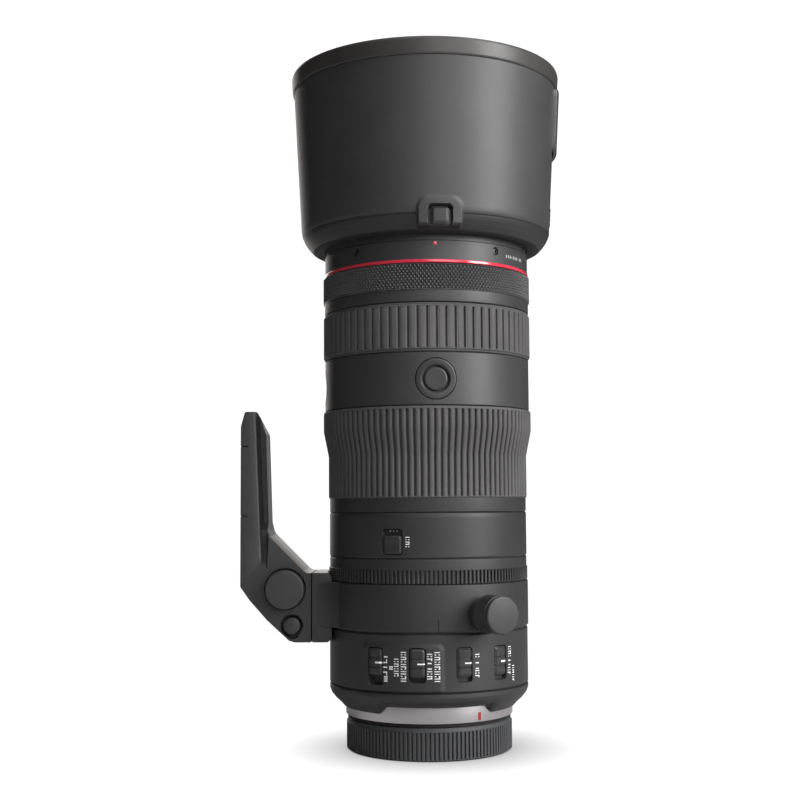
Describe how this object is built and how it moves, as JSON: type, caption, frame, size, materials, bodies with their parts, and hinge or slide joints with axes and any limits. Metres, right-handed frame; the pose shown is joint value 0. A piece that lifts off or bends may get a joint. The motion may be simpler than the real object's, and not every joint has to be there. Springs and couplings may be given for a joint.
{
  "type": "telephoto zoom lens",
  "caption": "Black telephoto zoom lens standing on its rear cap, with a lens hood, turning rings, side switches and a tripod collar with a removable foot.",
  "frame": {"origin": "centre of the rear cap's flat face, on the optical axis", "axes": "+Z along the optical axis towards the front of the lens, -Y the switch side, -X the tripod foot side"},
  "size_m": [0.1345, 0.1148, 0.2846],
  "materials": {
    "matte_black": "satin",
    "gloss_black": "satin",
    "cap_plastic": "matte",
    "grip_rubber": "matte",
    "mount_metal": "satin",
    "screw_metal": "satin",
    "dark_metal": "satin",
    "pin_gold": "polished",
    "lens_glass": "polished",
    "red_gloss": "gloss",
    "board_green": "satin",
    "foot_metal": "satin"
  },
  "bodies": {
    "barrel": {"mount_ring": "mount_metal", "mount_screws": "screw_metal", "mount_gasket": "grip_rubber", "contact_block": "cap_plastic", "contact_pins": "pin_gold", "rear_cell": "matte_black", "rear_glass": "lens_glass", "rear_shroud": "matte_black", "switch_barrel": "matte_black", "core_tube": "dark_metal", "main_board": "board_green", "lock_barrel": "matte_black", "stabilizer_unit": "matte_black", "iris_housing": "matte_black", "iris_blades": "gloss_black", "focus_motor": "dark_metal", "guide_rods": "screw_metal", "button_barrel": "matte_black", "button_bezels": "gloss_black", "red_ring": "red_gloss", "front_barrel": "matte_black", "front_screws": "screw_metal", "index_dot": "red_gloss", "filter_ring": "matte_black", "front_cell": "matte_black", "front_element": "lens_glass", "front_inner_glass": "lens_glass"},
    "rear_cap": {"rear_cap": "cap_plastic"},
    "stab_mode": {"stabilizer_mode_switch": "gloss_black"},
    "stab": {"stabilizer_switch": "gloss_black"},
    "focus_mode": {"focus_mode_switch": "gloss_black"},
    "focus_limit": {"focus_limit_switch": "gloss_black"},
    "collar": {"collar_ring": "foot_metal"},
    "collar_knob": {"collar_lock_knob": "matte_black"},
    "foot": {"tripod_foot": "foot_metal", "tripod_sockets": "screw_metal"},
    "foot_knob": {"foot_lock_knob": "matte_black"},
    "foot_button": {"foot_release_button": "gloss_black"},
    "iris": {"iris_ring": "matte_black"},
    "iris_lock": {"iris_lock_switch": "gloss_black"},
    "stabilizer": {"stabilizer_cell": "matte_black", "stabilizer_glass": "lens_glass"},
    "focus_group": {"focus_frame": "matte_black", "focus_glass": "lens_glass"},
    "zoom": {"zoom_ring": "matte_black", "zoom_grip": "grip_rubber", "zoom_drive_pin": "screw_metal", "cam_tube": "dark_metal"},
    "variator": {"variator_frame": "matte_black", "variator_glass": "lens_glass"},
    "fn_front": {"function_button_front": "gloss_black"},
    "fn_side": {"function_button_side": "gloss_black"},
    "focus": {"focus_ring": "matte_black", "focus_grip": "grip_rubber"},
    "control": {"control_ring": "matte_black"},
    "hood": {"hood_shell": "matte_black", "hood_rim": "grip_rubber"},
    "hood_door": {"hood_window_door": "matte_black"},
    "hood_button": {"hood_release_button": "gloss_black"}
  },
  "joints": [
    {"name": "rear_cap_twist", "type": "hinge", "parent": "barrel", "child": "rear_cap", "pos_m": [0, 0, 0], "axis": [0, 0, 1], "range_deg": [0, 60]},
    {"name": "stabilizer_mode_slide", "type": "slide", "parent": "barrel", "child": "stab_mode", "axis": [0, 0, 1], "range_m": [-0.0035, 0]},
    {"name": "stabilizer_slide", "type": "slide", "parent": "barrel", "child": "stab", "axis": [0, 0, 1], "range_m": [-0.0018, 0]},
    {"name": "focus_mode_slide", "type": "slide", "parent": "barrel", "child": "focus_mode", "axis": [0, 0, 1], "range_m": [-0.0018, 0]},
    {"name": "focus_limit_slide", "type": "slide", "parent": "barrel", "child": "focus_limit", "axis": [0, 0, 1], "range_m": [-0.0018, 0]},
    {"name": "collar_turn", "type": "hinge", "parent": "barrel", "child": "collar", "pos_m": [0, 0, 0], "axis": [0, 0, 1], "continuous": true},
    {"name": "collar_knob_turn", "type": "hinge", "parent": "collar", "child": "collar_knob", "pos_m": [0, 0, 0.058], "axis": [0.5, -0.866, 0], "range_deg": [0, 270]},
    {"name": "foot_slide", "type": "slide", "parent": "collar", "child": "foot", "axis": [0, 0, 1], "range_m": [0, 0.03]},
    {"name": "foot_knob_turn", "type": "hinge", "parent": "foot", "child": "foot_knob", "pos_m": [-0.0587, -0.015, 0.0662], "axis": [0, -1, 0], "range_deg": [0, 270]},
    {"name": "foot_button_press", "type": "slide", "parent": "foot", "child": "foot_button", "axis": [0, 1, 0], "range_m": [0, 0.001], "stiffness_N_per_m": 600, "springref_m": -0.001},
    {"name": "iris_turn", "type": "hinge", "parent": "barrel", "child": "iris", "pos_m": [0, 0, 0], "axis": [0, 0, 1], "range_deg": [0, 90]},
    {"name": "iris_lock_slide", "type": "slide", "parent": "barrel", "child": "iris_lock", "axis": [0, 0, 1], "range_m": [0, 0.0023]},
    {"name": "stabilizer_shift", "type": "slide", "parent": "barrel", "child": "stabilizer", "axis": [1, 0, 0], "range_m": [-0.0008, 0.0008]},
    {"name": "focus_group_slide", "type": "slide", "parent": "barrel", "child": "focus_group", "axis": [0, 0, 1], "range_m": [-0.004, 0.005]},
    {"name": "zoom_turn", "type": "hinge", "parent": "barrel", "child": "zoom", "pos_m": [0, 0, 0], "axis": [0, 0, 1], "range_deg": [0, 75]},
    {"name": "variator_slide", "type": "slide", "parent": "barrel", "child": "variator", "axis": [0, 0, 1], "range_m": [0, 0.0261]},
    {"name": "function_front_press", "type": "slide", "parent": "barrel", "child": "fn_front", "axis": [-0.0837, 0.9965, 0], "range_m": [0, 0.0008], "stiffness_N_per_m": 600, "springref_m": -0.001},
    {"name": "function_side_press", "type": "slide", "parent": "barrel", "child": "fn_side", "axis": [0.9965, 0.0837, 0], "range_m": [0, 0.0008], "stiffness_N_per_m": 600, "springref_m": -0.001},
    {"name": "focus_turn", "type": "hinge", "parent": "barrel", "child": "focus", "pos_m": [0, 0, 0], "axis": [0, 0, 1], "continuous": true},
    {"name": "control_turn", "type": "hinge", "parent": "barrel", "child": "control", "pos_m": [0, 0, 0], "axis": [0, 0, 1], "continuous": true},
    {"name": "hood_twist", "type": "hinge", "parent": "barrel", "child": "hood", "pos_m": [0, 0, 0], "axis": [0, 0, 1], "range_deg": [0, 60]},
    {"name": "hood_door_slide", "type": "slide", "parent": "hood", "child": "hood_door", "axis": [0.0533, 0, 0.9986], "range_m": [0, 0.025]},
    {"name": "hood_button_press", "type": "slide", "parent": "hood", "child": "hood_button", "axis": [-0.108, 0.9942, 0], "range_m": [0, 0.001], "stiffness_N_per_m": 600, "springref_m": -0.001}
  ],
  "couplings": [
    {"joint": "variator_slide", "follows": "zoom_turn", "m_per_rad": 0.019863}
  ]
}
